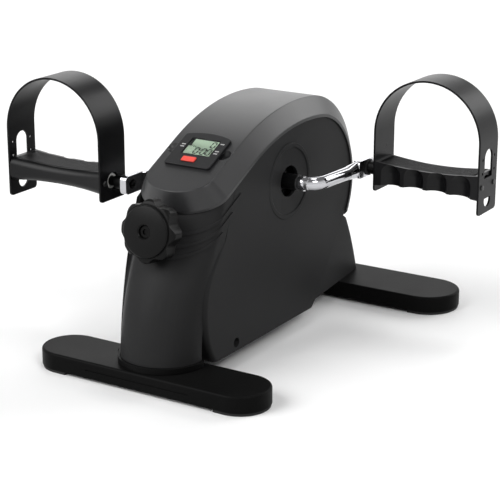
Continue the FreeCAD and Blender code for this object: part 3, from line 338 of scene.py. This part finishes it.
def segment(bm, start, end, z0, z1):
    """One bar of a digit with pointed ends."""
    along = (Vector(end) - Vector(start)).normalized()
    side = Vector((-along.y, along.x)) * SEGMENT_W / 2
    a, b = Vector(start) + along * SEGMENT_GAP, Vector(end) - along * SEGMENT_GAP
    inset = along * SEGMENT_W / 2
    slab(bm, [a, a + inset - side, b - inset - side, b, b - inset + side, a + inset + side], z0, z1)


def zero(bm, x, y, size, z0, z1):
    """Seven-segment zero whose lower left corner stands at x, y."""
    width, step = size * DIGIT_WIDTH, size / 2
    for x0, y0, x1, y1 in ZERO:
        ends = [(x + u * width + v * step * DIGIT_LEAN, y + v * step)
                for u, v in ((x0, y0), (x1, y1))]
        segment(bm, *ends, z0, z1)


def block(bm, x, y, width, height, z0, z1):
    """Thin upright block whose lower left corner stands at x, y."""
    slab(bm, [(x, y), (x + width, y), (x + width, y + height), (x, y + height)], z0, z1)


def meter_readout(matrix):
    """Two rows of liquid-crystal digits just above the display."""
    bm = bmesh.new()
    for x, y, size in DIGIT_PLACES:
        zero(bm, x, y, size, *DIGIT_Z)
    for y in COLON_Y:
        block(bm, COLON_X, y, COLON_DOT, COLON_DOT, *DIGIT_Z)
    obj = new_object("meter_digits", bm, "segments", matrix)
    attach(obj, "meter")


def meter_marks(matrix):
    """Plain printed ticks beside the display, two rows on its left and three on its right."""
    bm = bmesh.new()
    for x, y in MARK_ROWS:
        for i in range(MARK_TICKS):
            block(bm, x + i * MARK_PITCH, y - MARK_H / 2, MARK_W, MARK_H, *MARK_Z)
    obj = new_object("meter_marks", bm, "print", matrix)
    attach(obj, "meter")


# ---- pedal treads ----------------------------------------------------------
LINE_PITCH, LINE_W, LINE_H = 0.0021, 0.0011, 0.00035
LINE_COUNT = 19
LINE_FLAT = 0.85           # least z of the surface's normal; a line that meets less is left out
LINE_STEPS = 28
LINE_END = 0.004
LINE_PROFILE = ((-0.5, -0.5), (-0.4, 0.5), (-0.15, 1.0), (0.15, 1.0), (0.4, 0.5), (0.5, -0.5))


def tread_lines(pedal):
    """Fine raised lines along a pedal, laid on its dished top."""
    source = frame["nodes"][pedal].data
    surface = BVHTree.FromPolygons([v.co for v in source.vertices],
                                   [p.vertices for p in source.polygons])
    low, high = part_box(pedal)
    middle = (low.y + high.y) / 2
    start, length = low.x + LINE_END, high.x - low.x - 2 * LINE_END
    bm = bmesh.new()
    for i in range(LINE_COUNT):
        y = middle + (i - (LINE_COUNT - 1) / 2) * LINE_PITCH
        stations = [start + length * k / LINE_STEPS for k in range(LINE_STEPS + 1)]
        hits = [surface.ray_cast(Vector((x, y, high.z + LINE_END)), Vector((0, 0, -1)))
                for x in stations]
        if any(point is None or normal.z < LINE_FLAT for point, normal, _, _ in hits):
            continue
        rings = [[bm.verts.new((hit[0].x, y + u * LINE_W, hit[0].z + v * LINE_H))
                  for u, v in LINE_PROFILE] for hit in hits]
        for a, b in zip(rings, rings[1:]):
            for j in range(len(a)):
                j2 = (j + 1) % len(a)
                bm.faces.new((a[j], b[j], b[j2], a[j2]))
        bm.faces.new(rings[0])
        bm.faces.new(rings[-1][::-1])
    bmesh.ops.recalc_face_normals(bm, faces=bm.faces)
    obj = new_object(pedal + "_lines", bm, "dark_plastic", Matrix.Identity(4))
    for poly in obj.data.polygons:
        poly.use_smooth = len(poly.vertices) == 4
    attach(obj, pedal)


# ---- floor, backdrop and light -------------------------------------------
FLOOR_HALF = 12.0
FLOOR_SEEN, FLOOR_BOUNCE = (0.96, 0.96, 0.96, 1), (0.32, 0.32, 0.32, 1)
AMBIENT, WHITE = 0.2, 1.0
FADE_FROM, FADE_TO, FADE_LEFT = 0.35, 0.75, 0.25   # ray heights of the fade, and what is left


def seen_directly(tree):
    """1 for rays from the camera and for reflections and glass, else 0."""
    path = tree.nodes.new("ShaderNodeLightPath")
    total = path.outputs["Is Camera Ray"]
    for kind in ("Is Glossy Ray", "Is Transmission Ray"):
        add = tree.nodes.new("ShaderNodeMath")
        add.operation = "MAXIMUM"
        tree.links.new(total, add.inputs[0])
        tree.links.new(path.outputs[kind], add.inputs[1])
        total = add.outputs["Value"]
    return total


def ground():
    """Pale floor that lights the object only a third as much as its own look suggests."""
    mesh = bpy.data.meshes.new("ground")
    bm = bmesh.new()
    bmesh.ops.create_grid(bm, x_segments=2, y_segments=2, size=FLOOR_HALF)
    bm.to_mesh(mesh)
    bm.free()
    obj = bpy.data.objects.new("ground", mesh)
    scene.collection.objects.link(obj)
    n = Nodes("ground")
    dark = n.add("ShaderNodeBsdfDiffuse", Color=FLOOR_BOUNCE)
    n.shader.inputs["Base Color"].default_value = FLOOR_SEEN
    n.shader.inputs["Roughness"].default_value = 0.8
    n.shader.inputs["Specular IOR Level"].default_value = 0.1
    mix = n.add("ShaderNodeMixShader")
    n.tree.links.new(seen_directly(n.tree), mix.inputs["Fac"])
    n.tree.links.new(dark.outputs["BSDF"], mix.inputs[1])
    n.tree.links.new(n.shader.outputs["BSDF"], mix.inputs[2])
    n.tree.links.new(mix.outputs["Shader"], n.out.inputs["Surface"])
    mesh.materials.append(n.mat)


def backdrop():
    """Soft light; the camera, reflections and glass see white that darkens higher up."""
    world = bpy.data.worlds.new("studio")
    scene.world = world
    world.use_nodes = True
    tree = world.node_tree
    tree.nodes.clear()
    out = tree.nodes.new("ShaderNodeOutputWorld")
    ambient, seen = (tree.nodes.new("ShaderNodeBackground") for _ in range(2))
    for light, strength in ((ambient, AMBIENT), (seen, WHITE)):
        light.inputs["Color"].default_value = (1, 1, 1, 1)
        light.inputs["Strength"].default_value = strength
    coords = tree.nodes.new("ShaderNodeTexCoord")
    split = tree.nodes.new("ShaderNodeSeparateXYZ")
    fade = tree.nodes.new("ShaderNodeMapRange")
    for socket, value in (("From Min", FADE_FROM), ("From Max", FADE_TO),
                          ("To Min", WHITE), ("To Max", FADE_LEFT)):
        fade.inputs[socket].default_value = value
    tree.links.new(coords.outputs["Generated"], split.inputs["Vector"])
    tree.links.new(split.outputs["Z"], fade.inputs["Value"])
    tree.links.new(fade.outputs["Result"], seen.inputs["Strength"])
    mix = tree.nodes.new("ShaderNodeMixShader")
    tree.links.new(seen_directly(tree), mix.inputs["Fac"])
    tree.links.new(ambient.outputs["Background"], mix.inputs[1])
    tree.links.new(seen.outputs["Background"], mix.inputs[2])
    tree.links.new(mix.outputs["Shader"], out.inputs["Surface"])


def soft_sun(name, azimuth, elevation, width, strength):
    """Far, broad lamp: even over the whole floor, with soft shadows."""
    a, e = math.radians(azimuth), math.radians(elevation)
    back = Vector((math.sin(a) * math.cos(e), -math.cos(a) * math.cos(e), math.sin(e)))
    lamp = bpy.data.objects.new(name, bpy.data.lights.new(name, "SUN"))
    scene.collection.objects.link(lamp)
    lamp.data.energy = strength
    lamp.data.angle = math.radians(width)
    lamp.rotation_mode = "QUATERNION"
    lamp.rotation_quaternion = (-back).to_track_quat("-Z", "Y")


face = meter_frame()
meter_readout(face)
meter_marks(face)
tread_lines("left_pedal")
tread_lines("right_pedal")
ground()
backdrop()
# azimuth and elevation each lamp shines from and how broad it is, in degrees; its strength
soft_sun("top", -144, 38, 36, 0.45)
soft_sun("key", -35, 36, 46, 2.3)
soft_sun("right", 154, 30, 32, 1.0)
soft_sun("rear", 208, 18, 34, 0.15)
soft_sun("corner", 64, 42, 20, 0.9)
soft_sun("crease", 160, 76, 14, 0.4)

scene.view_settings.view_transform = "Standard"
